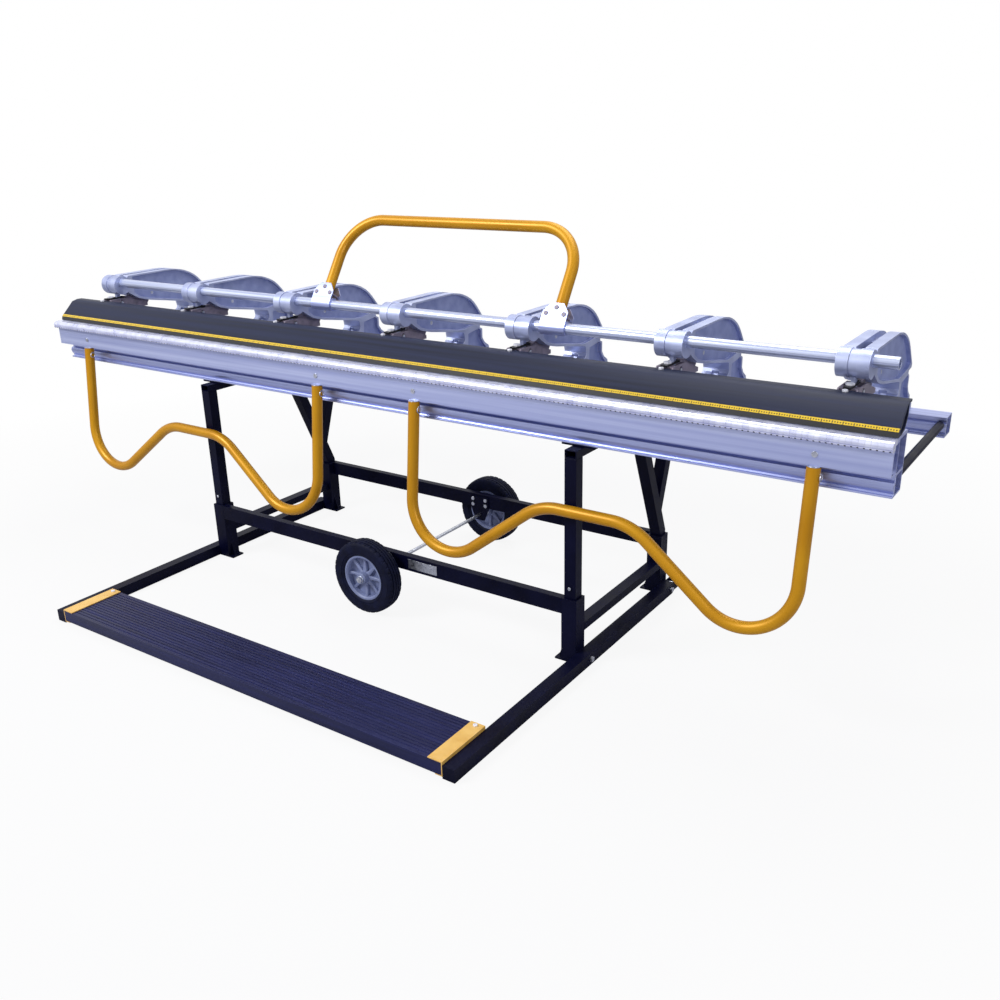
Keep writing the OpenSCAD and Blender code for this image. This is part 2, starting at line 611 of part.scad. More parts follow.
// Jaw: hollow extrusion with a clamping nose and a lip behind its top edge
jaw_gap = 1;
jaw_low = bed_z + jaw_gap;
jaw_h = 70;
jaw_top = jaw_low + jaw_h;
jaw_back = 100;
lip_back = 122;
jaw_lip_t = 6;
jaw_wall = 5;
tape_shares = [0.19, 0.29];
nose_share = 0.186;
edge_share = 0.916;
bore_shares = [0.09, 0.86];
nose_rake = 4;
face_rake = 74;
function face_y(s) = nose_y + (s < nose_share ? nose_rake * s / nose_share : nose_rake + (s - nose_share) * face_rake);
function face_pt(s, d) = [face_y(s) + d, jaw_low + s * jaw_h];
nose_t = 3.5;
pad_depth = 30;
module jaw() color("#3c4462") place() difference() {
  along_x(brake_len) difference() {
    polygon([face_pt(0, nose_t), face_pt(nose_share, nose_t), face_pt(nose_share, 0), face_pt(edge_share, 0),
      [jaw_back, jaw_top], [lip_back, jaw_top], [lip_back, jaw_top - jaw_lip_t], [jaw_back, jaw_top - jaw_lip_t],
      [jaw_back, jaw_low + jaw_h / 2], [nose_y + 2 * pad_depth, jaw_low + jaw_wall],
      [nose_y + pad_depth, jaw_low]]);
    polygon([face_pt(bore_shares[0], nose_t + 2 * jaw_wall), face_pt(bore_shares[1], 2 * jaw_wall),
      [jaw_back - jaw_wall, jaw_top - jaw_lip_t], [jaw_back - jaw_wall, jaw_low + jaw_h / 2 + jaw_wall / 2],
      [nose_y + 2 * pad_depth - jaw_wall, jaw_low + 2 * jaw_wall], [nose_y + pad_depth, jaw_low + jaw_wall]]);
  }
  jaw_bolt_places() translate([0, 0, -2 * jaw_lip_t]) cylinder(r = jaw_bolt_r + run_gap, h = 3 * jaw_lip_t);
}
module nose_strip() color("#0c0c10") place() along_x(brake_len)
  polygon([face_pt(0, 0), face_pt(nose_share, 0), face_pt(nose_share, nose_t), face_pt(0, nose_t)]);
tape_t = 0.5;
module jaw_tape() color("#e8c93a") place() along_x(brake_len)
  polygon([face_pt(tape_shares[0], -tape_t), face_pt(tape_shares[0], 0), face_pt(tape_shares[1], 0),
    face_pt(tape_shares[1], -tape_t)]);
jaw_bolt_r = 4;
jaw_bolt_af = 13;
jaw_bolt_head = 5;
module jaw_bolt_places() for (x = STATIONS)
  translate([x, (jaw_back + lip_back) / 2, jaw_top]) children();

// Levers: a channel behind the jaw and a tongue between the cheeks of each casting
lever_half = 25;
lever_t = 4;
lever_drop = 63;
lever_top = lock_z - lever_drop;
lever_rise = 38;
lever_low = bed_z + lever_rise;
link_hole_drop = 15;
link_hole_z = lever_top - link_hole_drop;
lever_step = 12;
wing_reach = 44;
wing_drop = 16;
belly_drop = 8;
lug_gap = 20;
web_y = 210;
wing_end = 300;
tongue_half = fork_half - slide_gap;
eye_r = 14;
link_play = 4;
link_pin_r = 5;
module lever_plate() difference() {
  rotate([90, 0, 90]) linear_extrude(lever_t) polygon([[jaw_back, lever_low], [jaw_back, jaw_top - jaw_lip_t],
    [lip_back + lever_t, jaw_top - jaw_lip_t], [lip_back + lever_step, lever_top], [web_y + lever_t, lever_top],
    [web_y + wing_reach, lever_top - wing_drop], [wing_end, lever_low + lever_t],
    [wing_end, lever_low - belly_drop], [web_y, lever_low - belly_drop]]);
  translate([0, boss_y, link_hole_z]) x_cyl(link_pin_r + link_play, 4 * lever_t);
}
module lever() difference() {
  union() {
    both_sides() translate([lever_half - lever_t, 0, 0]) lever_plate();
    bar(-lever_half, lever_half, jaw_back, lip_back + lever_t, jaw_top - jaw_lip_t - lever_t, jaw_top - jaw_lip_t);
    bar(-lever_half, lever_half, lip_back + lever_step, boss_y - lug_gap, lever_top - lever_t, lever_top);
    bar(-lever_half, lever_half, web_y, web_y + lever_t, lever_low, lever_top);
    translate([-tongue_half, 0, 0]) rotate([90, 0, 90]) linear_extrude(2 * tongue_half) {
      polygon([[web_y, lever_low], [web_y, lever_top], [pivot_y, pivot_z + eye_r],
        [pivot_y + eye_r, pivot_z], [pivot_y - eye_r, lever_low], [web_y + eye_r, lever_low - eye_r / 2]]);
      translate([pivot_y, pivot_z]) circle(r = eye_r);
    }
  }
  translate([0, pivot_y, pivot_z]) x_cyl(pin_r + run_gap, 3 * lever_half);
  translate([0, (jaw_back + lip_back) / 2, jaw_low]) cylinder(r = jaw_bolt_r + run_gap, h = jaw_h);
  translate([0, link_bolt_y, lever_low]) cylinder(r = link_bolt_r + run_gap, h = jaw_h);
}
module jaw_levers() color("#6d6576") place() for (x = STATIONS) translate([x, 0, 0]) lever();

// Slotted links that set the jaw back for thick sheet
link_bolt_y = 150;
link_bolt_r = 4;
link_t = 6;
link_half = 10;
link_slot_half = 6.5;
link_back = web_y;
link_end = 14;
module adjuster_links() color("#15151c") place() for (x = STATIONS) translate([x, 0, lever_top]) difference() {
  bar(-link_half, link_half, lip_back + lever_t, link_back, 0, link_t);
  bar(-link_slot_half, link_slot_half, lip_back + lever_t + link_end, link_back - link_t, -over, link_t + over);
}
module jaw_bolts() color("white") place() {
  jaw_bolt_places() hex_bolt(jaw_bolt_r, jaw_bolt_af, jaw_bolt_head, jaw_lip_t + lever_t);
  for (x = STATIONS) translate([x, link_bolt_y, lever_top + link_t])
    hex_bolt(link_bolt_r, 2 * link_half, jaw_bolt_head, link_t + lever_t);
}

// Locking tube with a cam at each casting
tube_left_over = 26;
tube_right_over = 62;
lock_wall = 4;
lock_left = STATIONS[0] - cast_w / 2 - tube_left_over;
lock_right = STATIONS[station_n - 1] + cast_w / 2 + tube_right_over;
cam_skin = 1.5;
cam_r = lock_tube_d / 2 + cam_throw + cam_skin;
module locking_tube() color("#d5d8ee") place() translate([(lock_left + lock_right) / 2, boss_y, lock_z]) difference() {
  x_cyl(lock_tube_d / 2, lock_right - lock_left);
  x_cyl(lock_tube_d / 2 - lock_wall, lock_right - lock_left + 2 * over);
}
module cams() color("#9aa0c8") place() for (x = STATIONS) translate([x, boss_y, lock_z]) difference() {
  translate([0, 0, -cam_throw]) x_cyl(cam_r, strap_w);
  x_cyl(lock_tube_d / 2, strap_w + 2 * over);
}

// Straps round the cams, each with a lug and a pin in its lever
lug_half_x = 6;
lug_half_y = 8;
lug_eye_r = 10;
strap_cut = 2;
strap_r = boss_r - strap_cut;
module cam_straps() color("#c3c8ea") place() for (x = STATIONS) translate([x, 0, 0]) difference() {
  union() {
    translate([0, boss_y, boss_z]) x_cyl(strap_r, strap_w);
    bar(-lug_half_x, lug_half_x, boss_y - lug_half_y, boss_y + lug_half_y, link_hole_z, boss_z - cam_r);
    translate([0, boss_y, link_hole_z]) x_cyl(lug_eye_r, 2 * lug_half_x);
  }
  translate([0, boss_y, boss_z]) x_cyl(cam_r + run_gap, strap_w + 2 * over);
  translate([0, boss_y, link_hole_z]) x_cyl(link_pin_r, 4 * lug_half_x);
}
module strap_pins() color("#c9ccd6") place() for (x = STATIONS)
  translate([x, boss_y, link_hole_z]) x_cyl(link_pin_r, 2 * lever_half + lever_t);

// Tubes bent in one plane. A tube starts along Z, and each step is a straight run with
// the turn and the radius of the bend after it. A positive turn goes towards +X.
module grip_ring() difference() {
  circle(r = grip_d / 2);
  circle(r = grip_d / 2 - grip_wall);
}
module bend(turn, rho) translate([rho, 0, 0]) rotate([90, 0, 0]) rotate([0, 0, 180 - turn])
  rotate_extrude(angle = turn) translate([rho, 0]) grip_ring();
module bent_tube(steps, i = 0) {
  linear_extrude(steps[i][0]) grip_ring();
  if (i < len(steps) - 1) translate([0, 0, steps[i][0]]) {
    turn = steps[i][1];
    side = sign(turn) * steps[i][2];
    if (turn > 0) bend(turn, side);
    if (turn < 0) mirror([1, 0, 0]) bend(-turn, -side);
    translate([side, 0, 0]) rotate([0, turn, 0]) translate([-side, 0, 0]) bent_tube(steps, i + 1);
  }
}

// The same path as a list of stops [x, z, heading], swept as a hollow tube
stop_turn = 10;
sweep_n = 24;
function stops(steps, p, a, i = 0) = let (q = p + steps[i][0] * [sin(a), cos(a)])
  i == len(steps) - 1 ? [[q, a]] :
  let (turn = steps[i][1], side = sign(turn) * steps[i][2], n = ceil(abs(turn) / stop_turn),
    c = q + side * [cos(a), -sin(a)])
  concat([for (k = [0:n]) let (b = a + turn * k / n) [c - side * [cos(b), -sin(b)], b]],
    stops(steps, c - side * [cos(a + turn), -sin(a + turn)], a + turn, i + 1));
function ring_pts(stop, r) = [for (k = [0:sweep_n - 1]) let (t = k * 360 / sweep_n)
  [stop[0][0] + r * cos(t) * cos(stop[1]), r * sin(t), stop[0][1] - r * cos(t) * sin(stop[1])]];
module swept_tube(path) {
  m = len(path);
  inner_r = (grip_d / 2 - grip_wall) / cos(180 / sweep_n);
  function at(ring, k) = ring * sweep_n + k % sweep_n;
  polyhedron(
    points = concat([for (s = path) each ring_pts(s, grip_d / 2)], [for (s = path) each ring_pts(s, inner_r)]),
    faces = concat(
      [for (i = [0:m - 2], k = [0:sweep_n - 1]) [at(i, k), at(i + 1, k), at(i + 1, k + 1), at(i, k + 1)]],
      [for (i = [0:m - 2], k = [0:sweep_n - 1])
        [at(m + i, k), at(m + i, k + 1), at(m + i + 1, k + 1), at(m + i + 1, k)]],
      [for (k = [0:sweep_n - 1]) [at(0, k), at(0, k + 1), at(m, k + 1), at(m, k)]],
      [for (k = [0:sweep_n - 1]) [at(m - 1, k), at(2 * m - 1, k), at(2 * m - 1, k + 1), at(m - 1, k + 1)]]));
}

// Locking handle: a wide U clamped to the locking tube, off the brake's middle
lock_left_x = -316;
lock_right_x = 592;
lock_corner_r = 140;
clamp_t = 4;
lock_foot = lock_tube_d / 2 + clamp_t;
module leaned() place() translate([0, boss_y, lock_z]) rotate([-lock_lean, 0, 0]) children();
module locking_handle() color("#e0a020") leaned() difference() {
  translate([lock_left_x, 0, lock_foot]) bent_tube([
    [lock_reach - lock_foot - lock_corner_r, 90, lock_corner_r],
    [lock_right_x - lock_left_x - 2 * lock_corner_r, 90, lock_corner_r],
    [lock_reach - lock_foot - lock_corner_r]]);
  for (x = [lock_left_x, lock_right_x]) translate([x, 0, rivet_high]) y_cyl(rivet_r, 2 * grip_d);
}

// Clamp brackets of the locking handle, riveted through both plates
clamp_half = 42;
clamp_top = 68;
rivet_r = 3.5;
rivet_head_r = 7;
rivet_head = 2.5;
rivet_low = 34;
rivet_high = 54;
rivet_x = 30;
clamp_p = grip_d / 2;
module rivet_places() for (x = [lock_left_x, lock_right_x]) {
  translate([x, 0, rivet_high]) children();
  for (s = [-1, 1]) translate([x + s * rivet_x, 0, rivet_low]) children();
}
module handle_brackets() color("#d5d8ee") leaned() difference() {
  for (x = [lock_left_x, lock_right_x]) translate([x, 0, 0]) {
    x_cyl(clamp_p + clamp_t, 2 * clamp_half);
    for (s = [0, 1]) mirror([0, s, 0]) translate([0, clamp_p + clamp_t, 0]) rotate([90, 0, 0])
      linear_extrude(clamp_t) polygon([[-clamp_half, 0], [clamp_half, 0], [clamp_half, rivet_low + rivet_head_r],
        [clamp_half / 2, clamp_top], [-clamp_half / 2, clamp_top], [-clamp_half, rivet_low + rivet_head_r]]);
  }
  x_cyl(lock_tube_d / 2, 2 * brake_len);
  for (x = [lock_left_x, lock_right_x]) translate([x, 0, lock_foot]) cylinder(r = grip_d / 2, h = clamp_top);
  rivet_places() y_cyl(rivet_r, 3 * grip_d);
}
module bracket_rivets() color("#c9ccd6") leaned() rivet_places() {
  y_cyl(rivet_r, 2 * (clamp_p + clamp_t));
  for (s = [-1, 1]) translate([0, s * (clamp_p + clamp_t + rivet_head / 2), 0]) y_cyl(rivet_head_r, rivet_head);
}

// Bending leaf: an open channel with its half of the hinge along the top edge
leaf_drop = 89;
leaf_low = bed_z - leaf_drop;
leaf_t = 4;
leaf_depth = 22;
leaf_lip_t = 3;
leaf_top_drop = 27;
leaf_top = bed_z - leaf_top_drop;
slot_w = 2.5;
slot_depth = 5;
bead_out = 0.5;
bead_y = hinge_y - barrel_r - bead_out;
bead_low = leaf_top + slot_w;
// The bead's flank clears the top of the bed's hinge when the leaf is swung right up
swing_stop = 135;
flank_gap = 0.22;
flank_dir = [cos(90 + swing_stop), sin(90 + swing_stop)];
flank_root = [hinge_y, hinge_z] + (barrel_r + flank_gap) * flank_dir;
bead_high = hinge_z + (barrel_r + flank_gap - (bead_y - hinge_y) * flank_dir[0]) / flank_dir[1];
neck_y = hinge_y + barrel_r;
module leaf() color("#aeb4e0") place() difference() {
  along_x(brake_len) polygon([[0, leaf_low], [leaf_depth, leaf_low], [leaf_depth, leaf_low + leaf_lip_t],
    [leaf_t, leaf_low + leaf_lip_t], [leaf_t, leaf_top - leaf_t], [neck_y, leaf_top], [neck_y, bead_low],
    [slot_depth, bead_low], [slot_depth, leaf_top], [0, leaf_top]]);
  for (x = LEG_X) {
    bar(x - socket_half - slide_gap, x + socket_half + slide_gap, leaf_t, leaf_depth + over,
      leaf_low - over, leaf_low + leaf_lip_t + over);
    translate([x, 0, screw_z]) y_cyl(screw_r + run_gap, 3 * leaf_t);
  }
}
module leaf_hinge() color("#aeb4e0") place() difference() {
  along_x(brake_len) {
    polygon([[neck_y, bead_low], [neck_y, hinge_z - knuckle_gap], [hinge_y, hinge_z - knuckle_gap], flank_root,
      [bead_y, bead_high], [bead_y, bead_low + slot_w], [bead_y + slot_w, bead_low]]);
    translate([hinge_y, hinge_z]) circle(r = barrel_r);
  }
  knuckle_places(0) x_cyl(barrel_r + body_gap, knuckle + 2 * knuckle_gap);
  for (s = [-1, 1]) translate([s * (knuckle_n * knuckle_pitch / 2 + brake_len / 2), hinge_y, hinge_z])
    x_cyl(barrel_r + body_gap, brake_len);
  translate([0, hinge_y, hinge_z]) x_cyl(hinge_rod_r + run_gap, brake_len + 2 * over);
}

// Bending handles: two W shaped tubes on pegs under the leaf
bend_centre = 812;
crest_half = 145;
crest_drop = 240;
corner_drop = 597;
corner_r = 145;
crest_r = 180;
crest_turn = atan2(corner_drop - crest_drop, bend_half_w - crest_half);
crest_cut = crest_r * tan(crest_turn / 2);
corner_cut = corner_r * tan(45 + crest_turn / 2);
leg_run_len = corner_drop - corner_cut;
slant_len = norm([corner_drop - crest_drop, bend_half_w - crest_half]) - corner_cut - crest_cut;
leg_start = [bend_centre - bend_half_w, 0];
handle_y = 3;
tube_drop = 3.2;
flange_t = 1;
LEG_X = [for (s = [-1, 1], t = [-1, 1]) s * bend_centre + t * bend_half_w];
socket_half = 20;
peg_len = 55;
peg_root = 2.6;
peg_r = grip_d / 2 - grip_wall - run_gap;
hitch_drop = 16;
hitch_r = 3;
screw_drop = 60;
screw_z = bed_z - screw_drop;
screw_r = 4;
module hung() place() translate([0, handle_y, leaf_low - tube_drop]) rotate([-bend_lean, 0, 0]) children();
module bending_handle() color("#e0a020") hung() difference() {
  swept_tube(concat([[leg_start, 180]], stops([[leg_run_len, -90 - crest_turn, corner_r],
    [slant_len, crest_turn, crest_r], [2 * (crest_half - crest_cut), crest_turn, crest_r],
    [slant_len, -90 - crest_turn, corner_r], [leg_run_len]], leg_start, 180)));
  for (x = LEG_X) translate([x, 0, -hitch_drop]) x_cyl(hitch_r + run_gap, 2 * grip_d);
}
module bending_handle_right() bending_handle();
module bending_handle_left() mirror([1, 0, 0]) bending_handle();
module leaf_sockets() color("#9aa0c8") difference() {
  union() {
    place() for (x = LEG_X) {
      bar(x - socket_half, x + socket_half, leaf_t, leaf_depth, leaf_low - flange_t, screw_z + socket_half);
      translate([x, handle_y, leaf_low - flange_t]) cylinder(r = grip_d / 2, h = flange_t);
    }
    hung() for (x = LEG_X) translate([x, 0, -peg_len]) cylinder(r = peg_r, h = peg_len + peg_root);
  }
  hung() for (x = LEG_X) translate([x, 0, -hitch_drop]) x_cyl(hitch_r + run_gap, 2 * grip_d);
  place() for (x = LEG_X) translate([x, leaf_t, screw_z]) y_cyl(screw_r + run_gap, 2 * leaf_depth);
}

// Hitch pins with rings beside the leg tops, and the leaf's screws
ring_r = 9;
ring_wire = 1.5;
module hitch_pins() color("#c9ccd6") hung() for (x = LEG_X) translate([x, 0, -hitch_drop]) {
  translate([ring_wire, 0, 0]) x_cyl(hitch_r, grip_d + 2 * ring_wire);
  translate([grip_d / 2 + 2 * ring_wire, 0, -ring_r]) rotate([0, 90, 0])
    rotate_extrude() translate([ring_r, 0]) circle(r = ring_wire);
}
screw_head_r = 8;
screw_head = 2;
module leaf_screws() color("#8a90b8") place() for (x = LEG_X) translate([x, 0, screw_z]) rotate([90, 0, 0]) {
  cylinder(r = screw_head_r, h = screw_head);
  translate([0, 0, -leaf_depth]) cylinder(r = screw_r, h = leaf_depth);
}

front_sleeves();
rear_sleeves();
side_tubes();
cross_tubes();
platform_rails();
rail_clevises();
rail_bolts();
platform_deck();
deck_clips();
deck_bolts();
axle_brackets();
axle_bracket_bolts();
axle_rod();
axle_nuts();
blank_plate();
front_tyre();
front_hub();
rear_tyre();
rear_hub();
front_posts();
height_buttons();
rear_legs();
side_bars();
saddles();
front_base_rail();
rear_base_rail();
tie_rods();
bed_rail();
bed_hinge();
hinge_rod();
casting_1();
casting_2();
casting_3();
casting_4();
casting_5();
casting_6();
casting_7();
casting_bolts();
pivot_pins();
jaw();
nose_strip();
jaw_tape();
jaw_levers();
adjuster_links();
jaw_bolts();
locking_tube();
cams();
locking_handle();
handle_brackets();
bracket_rivets();
cam_straps();
strap_pins();
leaf();
leaf_hinge();
leaf_sockets();
bending_handle_left();
bending_handle_right();
hitch_pins();
leaf_screws();
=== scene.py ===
"""Looks of the portable siding brake: finishes, rounded edges, handles, wheels, camera and light."""
import json
import math

import bmesh
import bpy
from mathutils import Matrix, Vector


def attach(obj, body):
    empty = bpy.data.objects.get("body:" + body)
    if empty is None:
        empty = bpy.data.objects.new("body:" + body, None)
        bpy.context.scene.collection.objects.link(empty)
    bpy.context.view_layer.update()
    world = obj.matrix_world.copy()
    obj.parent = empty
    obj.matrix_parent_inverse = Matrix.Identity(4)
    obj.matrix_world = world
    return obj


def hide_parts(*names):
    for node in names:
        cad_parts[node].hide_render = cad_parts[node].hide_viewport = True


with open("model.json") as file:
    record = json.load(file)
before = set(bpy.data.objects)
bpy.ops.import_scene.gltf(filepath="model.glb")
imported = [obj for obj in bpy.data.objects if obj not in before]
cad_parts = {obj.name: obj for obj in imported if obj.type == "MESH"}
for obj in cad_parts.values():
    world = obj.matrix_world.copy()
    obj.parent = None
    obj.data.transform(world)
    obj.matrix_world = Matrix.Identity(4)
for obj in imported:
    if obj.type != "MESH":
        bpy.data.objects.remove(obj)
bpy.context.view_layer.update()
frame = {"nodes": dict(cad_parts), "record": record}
NODES = frame["nodes"]
BODIES = frame["record"]["behaviour"]["bodies"]
BODY_OF = {node: body for body, members in BODIES.items() for node in members}
SLOT_OF = {row["node"]: row["material_slot"] for row in frame["record"]["subparts"]}

# Sizes of the brake in metres. The source of the part measures along Y from the leaf's face,
# and FACE_Y is where that face lies here.
MM = 0.001
FACE_Y = -0.01765
STATION_PITCH = 0.4826
STATIONS = [(i - 3) * STATION_PITCH for i in range(7)]
CHEEK_OUT = 0.041
POCKET_FLOOR = 0.021
BED_Z = 0.820
# Knuckles: pitch in millimetres, the share of it that a painted notch shadow takes, and the heights
# in metres between which that painted shadow lies
KNUCKLE_MM, NOTCH_SHADOW_SHARE, NOTCH_SHADOW_LOW, NOTCH_SHADOW_TOP = 14.5, 0.3, 0.7935, 0.7990
# Short and long ticks of the tape: pitch in millimetres, the share of it that a tick takes, and
# their ends in metres over the bed. The long ones start at the bed.
SHORT_MM, SHORT_SHARE, TICK_LOW, TICK_TOP = 6.35, 0.45, 0.0163, 0.0188
LONG_MM, LONG_SHARE, LONG_TICK_TOP = 25.4, 0.06, 0.0200

# How meshes are cleaned and shaded: welding distance in metres, and angles in degrees
WELD = 2e-6
FLAT_DEG, SHARP_DEG, BEVEL_DEG, BEND_STEP_DEG = 0.4, 32, 34, 3
HINGE_EDGE_MM, CASTING_EDGE_MM = 0.8, 2.2
TUBE_SHARP_DEG, TYRE_SHARP_DEG, HUB_SHARP_DEG = 50, 28, 40


# Finishes
def linear(hex_colour):
    """An sRGB hex colour as linear red, green, blue and alpha."""
    parts = [int(hex_colour[i:i + 2], 16) / 255 for i in (1, 3, 5)]
    return [p / 12.92 if p <= 0.04045 else ((p + 0.055) / 1.055) ** 2.4 for p in parts] + [1.0]


def add(tree, kind, sockets=None, **settings):
    """Adds a node with its settings, and sets or links each of its sockets."""
    node = tree.nodes.new("ShaderNode" + kind)
    for key, value in settings.items():
        setattr(node, key, value)
    for key, value in (sockets or {}).items():
        if isinstance(value, bpy.types.NodeSocket):
            tree.links.new(value, node.inputs[key])
        else:
            node.inputs[key].default_value = value
    return node


def new_finish(name, **constants):
    """An empty material with its shader. Constants go straight on the shader's sockets."""
    material = bpy.data.materials.new(name)
    material.use_nodes = True
    tree = material.node_tree
    shader = tree.nodes["Principled BSDF"]
    for key, value in constants.items():
        shader.inputs[key.replace("_", " ")].default_value = value
    return material, tree, shader


def grain(tree, size_mm, detail=2.0):
    """Noise whose grain has the given size in millimetres along X, Y and Z."""
    place = add(tree, "TexCoord").outputs["Object"]
    scaled = add(tree, "Mapping", {"Vector": place, "Scale": [1 / (s * MM) for s in size_mm]})
    return add(tree, "TexNoise", {"Vector": scaled.outputs[0], "Scale": 1.0,
                                  "Detail": detail}).outputs["Fac"]


# Nearly all of a noise's values lie between these two
NOISE_LOW, NOISE_HIGH = 0.3, 0.7


def between(tree, factor, low, high):
    """A factor stretched to run from low to high."""
    return add(tree, "MapRange", {"Value": factor, "From Min": NOISE_LOW, "From Max": NOISE_HIGH,
                                  "To Min": low, "To Max": high}).outputs["Result"]


def blended(tree, factor, first, second):
    """A colour between two, each a hex colour or a socket."""
    ends = [linear(c) if isinstance(c, str) else c for c in (first, second)]
    return add(tree, "Mix", {0: factor, 6: ends[0], 7: ends[1]}, data_type="RGBA").outputs[2]


def surface(name, colours, rough, cloud_mm, bump_mm, bump_depth, **constants):
    """A finish with a cloud of slight colour change, a span of roughness and a fine relief."""
    material, tree, shader = new_finish(name, **constants)
    cloud = grain(tree, cloud_mm)
    tree.links.new(blended(tree, between(tree, cloud, 0, 1), *colours), shader.inputs["Base Color"])
    tree.links.new(between(tree, cloud, *rough), shader.inputs["Roughness"])
    relief = add(tree, "Bump", {"Height": grain(tree, bump_mm, 3.0), "Distance": bump_depth * MM,
                                "Strength": 1.0})
    tree.links.new(relief.outputs[0], shader.inputs["Normal"])
    return material


# Each finish gives two colours, a span of roughness, the size of its cloud and then of its relief
# in millimetres along X, Y and Z, and the relief's depth. A millimetre is about a third of a pixel
# in the render, so a fine relief is drawn coarser than it is. The real sizes named here are
# estimates for such finishes and not measured.
# Powder coat on steel tube: near black with a blue cast, an orange peel that breaks the gloss.
# The peel is really 1 mm across and is drawn at 6 mm so that it shows.
stand_coat = surface("black_powder_coat", ("#04051a", "#090b26"), (0.32, 0.46), (90, 90, 90),
                     (6, 6, 6), 0.05, Specular_IOR_Level=0.07)
# Metallic enamel on bent tube: deep golden yellow that lights up along its top, with a soft peel
# of some 2 mm, drawn at 14 mm.
golden_enamel = surface("golden_enamel", ("#b98004", "#c78f0a"), (0.32, 0.42), (160, 160, 160),
                        (14, 14, 14), 0.02, Specular_IOR_Level=0.3, Metallic=0.2)
# Paler enamel on the folded deck channels. The peel of some 2 mm is drawn at 5 mm.
clip_enamel = surface("pale_yellow_enamel", ("#d8a84c", "#e6bb66"), (0.28, 0.4), (40, 40, 40),
                      (5, 5, 5), 0.04, Coat_Weight=0.2, Coat_Roughness=0.2)
# Extruded aluminium, satin anodised: blue silver, with die lines along the length. The lines
# are really 0.2 mm apart and are drawn at 2.5 mm.
rail_satin = surface("satin_anodised_extrusion", ("#969fce", "#b0b8e2"), (0.3, 0.42), (900, 9, 9),
                     (600, 2.5, 2.5), 0.05, Metallic=0.75)
# The leaf is the same stock, a little paler as painted light on its face, with its lines drawn alike.
leaf_satin_painted_light = surface("satin_anodised_leaf_painted_light", ("#a2abd8", "#bcc4e8"), (0.3, 0.4), (1100, 12, 12),
                     (700, 2.5, 2.5), 0.04, Metallic=0.6)
# Machined knuckles: brighter and cleaner than the extrusion that they are cut from. The cutter's
# marks are really 0.3 mm apart and are drawn at 2.5 mm.
knuckle_bright = surface("machined_knuckles", ("#c4c8e8", "#dfe2f6"), (0.25, 0.36), (30, 30, 30),
                         (2.5, 6, 6), 0.03, Metallic=0.5)
# Dirt and painted shade in the narrow gaps between knuckles: they are really 0.3 mm wide, and their
# chamfers carry it so that the joints read as dark notches.
knuckle_grime_and_shade = surface("grime_and_painted_shade_knuckle_gaps", ("#3c3f5c", "#565a7c"), (0.6, 0.75), (12, 12, 12),
                        (2, 2, 2), 0.03, Specular_IOR_Level=0.1)
# Cast aluminium, tumbled and clear coated: a fine skin of grains of about 1.5 mm, drawn at 3 mm.
cast_face = surface("tumbled_cast_aluminium", ("#9ca5ca", "#b4bcdb"), (0.36, 0.5), (60, 60, 60),
                    (3, 3, 3), 0.12, Metallic=0.55)
# The same casting as it left the mould, in its pockets: duller and rougher, and darker as painted
# shade in the recesses, with the same grains.
cast_pocket_and_shade = surface("as_cast_aluminium_with_painted_shade", ("#7f8abb", "#98a2cd"), (0.48, 0.62), (35, 35, 35),
                      (3, 3, 3), 0.3, Metallic=0.4)
# Its edges, rubbed bright by the tumbling and made brighter still as a painted highlight.
cast_rim_wear_and_highlight = surface("rubbed_cast_edges_painted_highlight", ("#c9cce6", "#dcdef2"), (0.28, 0.38), (50, 50, 50),
                   (4, 4, 4), 0.05, Metallic=0.5)
# Jaw extrusion, dark anodised: charcoal with a blue cast and the same die lines, drawn at 3 mm.
jaw_dark = surface("charcoal_anodised_extrusion", ("#14192c", "#20263f"), (0.42, 0.56), (800, 14, 14),
                   (500, 3, 3), 0.05, Metallic=0.1, Specular_IOR_Level=0.2)
# Ribbed deck extrusion: near black navy coat, with a bluish sheen seen along its top. Its peel of
# about 1 mm is drawn at 4 mm, and longer along the plank.
deck_coat = surface("navy_deck_coat", ("#0d0f2c", "#191c44"), (0.32, 0.44), (260, 14, 14),
                    (12, 4, 4), 0.04, Specular_IOR_Level=0.42, Specular_Tint=linear("#8d96ee"))
# Drawn aluminium tube, bright dipped: pale silver, with faint draw lines along it,
# drawn at 3 mm.
tube_bright = surface("bright_drawn_tube", ("#b0b9dc", "#ced6ee"), (0.18, 0.28), (700, 10, 10),
                      (500, 3, 3), 0.03, Metallic=0.65)
# Zinc plate on steel fasteners: cool grey with a cloudy bloom.
zinc_plate = surface("zinc_plated_steel", ("#a9adb8", "#cfd2dc"), (0.25, 0.4), (8, 8, 8),
                     (2, 2, 2), 0.03, Metallic=1.0)
# Pale plated bolt heads.
pale_plate = surface("pale_plated_heads", ("#dcdeea", "#f2f3fa"), (0.3, 0.42), (9, 9, 9),
                     (2, 2, 2), 0.02, Metallic=0.3)
# Coated pressed steel of the levers: grey brown, slightly dusty.
lever_coat = surface("grey_brown_coat", ("#6f6776", "#8b8292"), (0.4, 0.55), (25, 25, 25),
                     (4, 4, 4), 0.06, Metallic=0.2)
# Black oxide on the slotted links: dark and half dull.
black_bar = surface("black_oxide_bar", ("#0e0e14", "#1a1a22"), (0.35, 0.5), (30, 30, 30),
                    (4, 4, 4), 0.04, Metallic=0.3)
# Moulded black plastic of the nose strip: dull, with a mould texture under 1 mm, drawn at 3 mm.
nose_plastic = surface("moulded_black_plastic", ("#08080b", "#101014"), (0.4, 0.5), (60, 20, 20),
                       (3, 3, 3), 0.03)
# Moulded nylon hub: blue grey, with a mould texture under 1 mm, drawn at 2.5 mm.
hub_nylon = surface("grey_moulded_nylon", ("#6a7398", "#7f89ae"), (0.42, 0.55), (40, 40, 40),
                    (2.5, 2.5, 2.5), 0.04)
